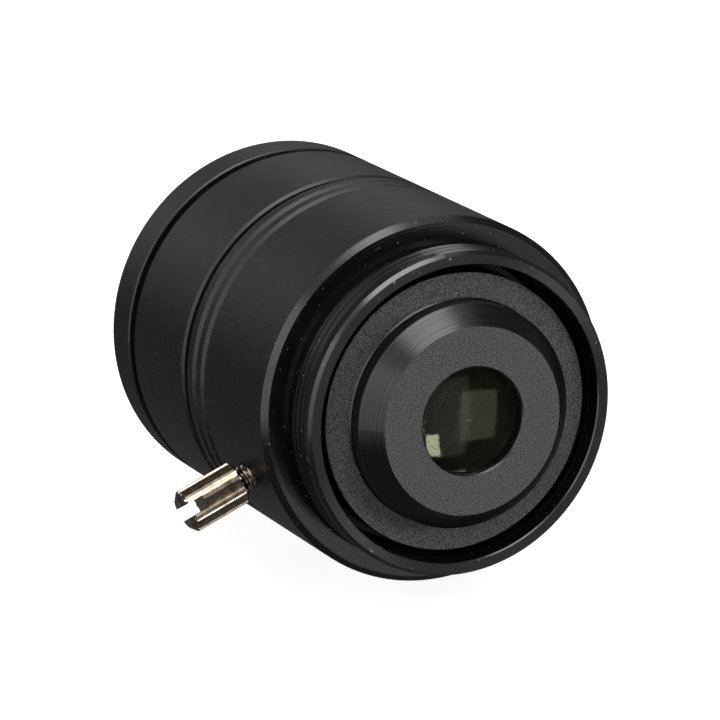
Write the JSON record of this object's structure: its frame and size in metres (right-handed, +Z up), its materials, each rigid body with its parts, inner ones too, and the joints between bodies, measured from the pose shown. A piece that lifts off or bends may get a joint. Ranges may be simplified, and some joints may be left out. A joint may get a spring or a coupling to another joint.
{
  "type": "C-mount lens",
  "caption": "Small black C-mount camera lens with a captive focus ring, a sliding lens group inside and a knurled focus lock screw on the mount end.",
  "frame": {"origin": "centre of the mount's flange seat, on the optical axis", "axes": "+Y out of the mount along the optical axis, towards the camera; -Y is the front of the lens, +Z up, the lock screw on the +X side"},
  "size_m": [0.0337, 0.0364, 0.0288],
  "materials": {
    "anodised_body": "satin black anodised aluminium",
    "anodised_inner": "matte black anodised aluminium",
    "helicoid_brass": "turned, greased",
    "blackened_stop": "dead matte black",
    "steel": "plain",
    "rubber_gasket": "matte",
    "nylon_pad": "natural",
    "nickel_screw": "bright nickel plated brass",
    "coated_glass": "polished, anti-reflection coated"
  },
  "bodies": {
    "housing": {"rear_housing": "anodised_body", "key_screw": "steel", "stop_pin": "steel", "snap_ring": "steel", "wave_washer": "steel"},
    "focus": {"helicoid_nut": "helicoid_brass", "focus_ring": "anodised_body"},
    "lens_group": {"lens_barrel": "anodised_inner", "rear_cell": "anodised_inner", "front_ring": "anodised_body", "front_element": "coated_glass", "second_element": "coated_glass", "third_element": "coated_glass", "flint_element": "coated_glass", "crown_element": "coated_glass", "rear_element": "coated_glass", "front_gasket": "rubber_gasket", "front_retaining_ring": "anodised_inner", "front_spacer": "anodised_inner", "third_spacer": "anodised_inner", "aperture_stop": "blackened_stop", "stop_spacer": "anodised_inner", "doublet_retaining_ring": "anodised_inner", "rear_retaining_ring": "anodised_inner"},
    "pad": {"lock_pad": "nylon_pad"},
    "screw": {"lock_screw": "nickel_screw"}
  },
  "joints": [
    {"name": "focus_turn", "type": "hinge", "parent": "housing", "child": "focus", "pos_m": [0, -0.02, 0], "axis": [0, 1, 0], "range_deg": [-60, 210]},
    {"name": "lens_slide", "type": "slide", "parent": "housing", "child": "lens_group", "axis": [0, -1, 0], "range_m": [-0.00025, 0.00088]},
    {"name": "lock_slide", "type": "slide", "parent": "housing", "child": "pad", "axis": [0.9178, 0, -0.3971], "range_m": [0, 0.0008]},
    {"name": "lock_turn", "type": "hinge", "parent": "pad", "child": "screw", "pos_m": [0.01413, -0.0053, -0.00612], "axis": [0.9178, 0, -0.3971], "range_deg": [0, 720]}
  ],
  "couplings": [
    {"joint": "focus_turn", "follows": "lens_slide", "rad_per_m": 4188.8},
    {"joint": "lock_turn", "follows": "lock_slide", "rad_per_m": 15708}
  ]
}
